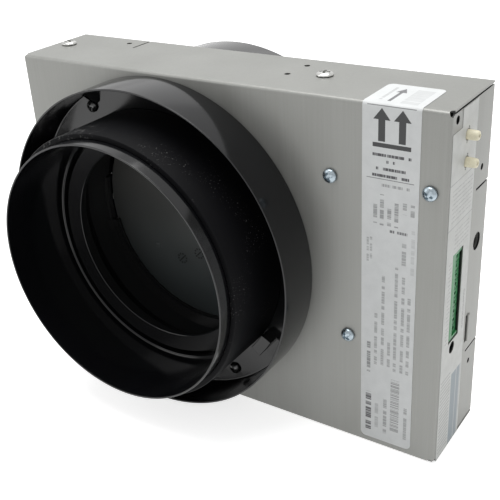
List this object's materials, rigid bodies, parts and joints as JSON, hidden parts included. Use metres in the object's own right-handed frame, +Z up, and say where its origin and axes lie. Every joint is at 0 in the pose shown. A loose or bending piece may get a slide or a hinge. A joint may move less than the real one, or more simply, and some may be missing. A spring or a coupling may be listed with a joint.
{
  "type": "power damper",
  "caption": "Motor driven round duct damper in a shallow sheet-metal case, with a double duct collar on each side, a plug-in terminal and two pressure ports.",
  "frame": {"origin": "middle of the case's flat bottom face, which it stands on", "axes": "+X to the side with the terminal plug and the pressure ports, +Y from the front face to the back, along the duct, +Z up"},
  "size_m": [0.2636, 0.1596, 0.1928],
  "materials": {
    "galvanised_steel": "satin",
    "black_plastic": "satin",
    "blade_plastic": "matte",
    "black_foam": "matte",
    "black_screw": "satin",
    "blue_zinc": "glossy",
    "bright_steel": "glossy",
    "white_nylon": "satin",
    "ivory_plastic": "satin",
    "green_plastic": "satin",
    "board_laminate": "satin",
    "blue_plastic": "glossy",
    "grey_plastic": "matte",
    "switch_plastic": "satin"
  },
  "bodies": {
    "case": {"front_shell": "galvanised_steel", "rear_cover": "galvanised_steel", "motor_bracket": "galvanised_steel", "board_carrier": "galvanised_steel", "front_outer_collar": "black_plastic", "rear_outer_collar": "black_plastic", "front_duct_tube": "black_plastic", "rear_duct_tube": "black_plastic", "damper_body": "black_plastic", "front_foam_seal": "black_foam", "rear_foam_seal": "black_foam", "stop_gasket_front": "black_foam", "stop_gasket_rear": "black_foam", "front_collar_screw_1": "black_screw", "front_collar_screw_2": "black_screw", "front_collar_screw_3": "black_screw", "front_collar_screw_4": "black_screw", "rear_collar_screw_1": "black_screw", "rear_collar_screw_2": "black_screw", "rear_collar_screw_3": "black_screw", "rear_collar_screw_4": "black_screw", "face_screw_upper_left": "blue_zinc", "face_screw_upper_right": "blue_zinc", "face_screw_lower": "blue_zinc", "motor_screw_upper": "blue_zinc", "motor_screw_lower": "blue_zinc", "top_screw_left": "bright_steel", "top_screw_right": "bright_steel", "motor_case": "bright_steel", "motor_gearbox": "grey_plastic", "shaft_bush_left": "white_nylon", "shaft_bush_right": "white_nylon", "board_spacer_1": "white_nylon", "board_spacer_2": "white_nylon", "board_spacer_3": "white_nylon", "board_spacer_4": "white_nylon", "upper_switch_body": "switch_plastic", "lower_switch_body": "switch_plastic", "pressure_sensor": "switch_plastic", "capacitor": "switch_plastic", "circuit_board": "board_laminate", "relay": "blue_plastic", "terminal_header": "green_plastic", "pressure_port_upper": "ivory_plastic", "pressure_port_lower": "ivory_plastic"},
    "blade_assembly": {"blade": "blade_plastic", "blade_shaft": "bright_steel", "blade_screw_left": "blue_zinc", "blade_screw_right": "blue_zinc", "shaft_coupling": "white_nylon", "motor_shaft": "bright_steel"},
    "plug": {"terminal_plug": "green_plastic"},
    "upper_lever": {"upper_switch_lever": "bright_steel"},
    "lower_lever": {"lower_switch_lever": "bright_steel"}
  },
  "joints": [
    {"name": "blade_turn", "type": "hinge", "parent": "case", "child": "blade_assembly", "pos_m": [-0.034, 0.01, 0.09525], "axis": [1, 0, 0], "range_deg": [0, 90]},
    {"name": "plug_pull", "type": "slide", "parent": "case", "child": "plug", "axis": [1, 0, 0], "range_m": [0, 0.012]},
    {"name": "upper_lever_tip", "type": "hinge", "parent": "case", "child": "upper_lever", "pos_m": [0.06, 0, 0.1068], "axis": [1, 0, 0], "range_deg": [-6, 0]},
    {"name": "lower_lever_tip", "type": "hinge", "parent": "case", "child": "lower_lever", "pos_m": [0.06, 0, 0.08475], "axis": [1, 0, 0], "range_deg": [-6, 0]}
  ],
  "couplings": [
    {"joint": "upper_lever_tip", "follows": "blade_turn", "ratio": -0.0666},
    {"joint": "lower_lever_tip", "follows": "blade_turn", "ratio": -0.0666}
  ]
}
